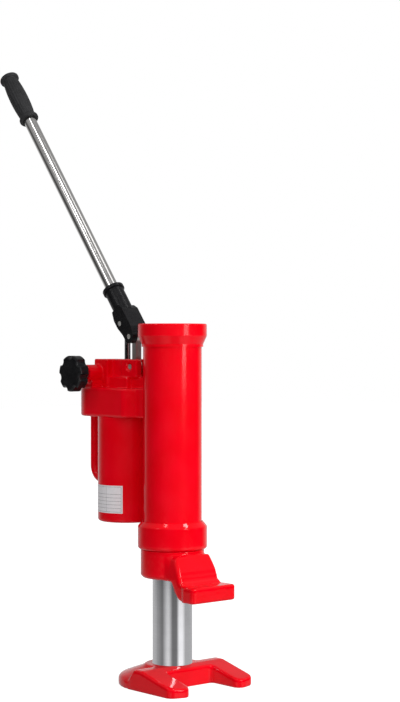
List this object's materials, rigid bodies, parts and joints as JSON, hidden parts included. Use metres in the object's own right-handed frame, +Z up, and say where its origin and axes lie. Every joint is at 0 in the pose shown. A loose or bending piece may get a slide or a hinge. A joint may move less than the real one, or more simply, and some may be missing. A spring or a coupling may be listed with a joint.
{
  "type": "hydraulic machine jack",
  "caption": "Hydraulic toe jack: a cylinder with a lifting toe slides up a fixed ram on a horseshoe foot, raised by a hand pump with a lever, tank and release knob.",
  "frame": {"origin": "on the ram axis at the underside of the foot", "axes": "+Z up along the ram, -Y towards the toe, +Y towards the pump, -X towards the release knob"},
  "size_m": [0.169, 0.5585, 1.0014],
  "materials": {
    "red_paint": "gloss",
    "chrome": "polished",
    "bright_steel": "satin",
    "black_casting": "satin",
    "black_plastic": "satin",
    "black_rubber": "matt",
    "seal_rubber": "matt",
    "bronze": "machined",
    "grey_iron": "machined",
    "guide_plastic": "matt"
  },
  "bodies": {
    "foot": {"foot": "red_paint", "ram": "chrome", "guide_piston": "grey_iron", "piston_guide_ring": "guide_plastic", "piston_nut": "bright_steel"},
    "toe": {"toe": "red_paint"},
    "cylinder": {"lower_collar": "red_paint", "rod_seal": "seal_rubber", "rod_guide_bush": "bronze", "wiper_ring": "seal_rubber", "toe_retaining_nut": "bright_steel", "cylinder_tube": "red_paint", "cylinder_head": "red_paint", "head_seal": "seal_rubber", "pump_block": "red_paint", "oil_tank": "red_paint", "tank_seal": "seal_rubber", "suction_strainer": "bronze", "inlet_seat": "bronze", "inlet_ball": "bright_steel", "delivery_ball": "bright_steel", "delivery_retainer": "bronze", "plunger_seal": "seal_rubber", "plunger_gland": "bright_steel", "filler_plug": "bright_steel", "relief_valve_plug": "bright_steel", "release_gland": "bright_steel", "carry_handle": "red_paint", "link_pin": "bright_steel"},
    "plunger": {"pump_plunger": "chrome"},
    "handle": {"handle_socket": "black_casting", "plunger_pin": "bright_steel", "fulcrum_pin": "bright_steel", "pin_circlips": "bright_steel"},
    "link": {"fulcrum_link": "bright_steel"},
    "lever": {"lever_tube": "bright_steel", "lever_grip": "black_rubber"},
    "release_valve": {"release_spindle": "bright_steel", "release_knob": "black_plastic", "knob_grub_screw": "bright_steel"}
  },
  "joints": [
    {"name": "lift", "type": "slide", "parent": "foot", "child": "toe", "axis": [0, 0, 1], "range_m": [-0.1335, 0.095]},
    {"name": "swivel", "type": "hinge", "parent": "toe", "child": "cylinder", "pos_m": [0, 0, 0.2], "axis": [0, 0, 1], "continuous": true},
    {"name": "plunger_stroke", "type": "slide", "parent": "cylinder", "child": "plunger", "axis": [0, 0, 1], "range_m": [-0.019, 0.0005]},
    {"name": "lever_swing", "type": "hinge", "parent": "plunger", "child": "handle", "pos_m": [0, 0.112, 0.5608], "axis": [1, 0, 0], "range_deg": [-38, 0]},
    {"name": "link_swing", "type": "hinge", "parent": "handle", "child": "link", "pos_m": [0, 0.0885, 0.54], "axis": [1, 0, 0], "range_deg": [-0.5, 48.5]},
    {"name": "lever_pull", "type": "slide", "parent": "handle", "child": "lever", "axis": [0, 0.6184, 0.7859], "range_m": [0, 0.06]},
    {"name": "release_turn", "type": "hinge", "parent": "cylinder", "child": "release_valve", "pos_m": [-0.07, 0.157, 0.481], "axis": [-1, 0, 0], "range_deg": [0, 360]}
  ],
  "couplings": [
    {"joint": "plunger_stroke", "follows": "lever_swing", "m_per_rad": 0.02761},
    {"joint": "link_swing", "follows": "lever_swing", "ratio": -1.2625}
  ]
}
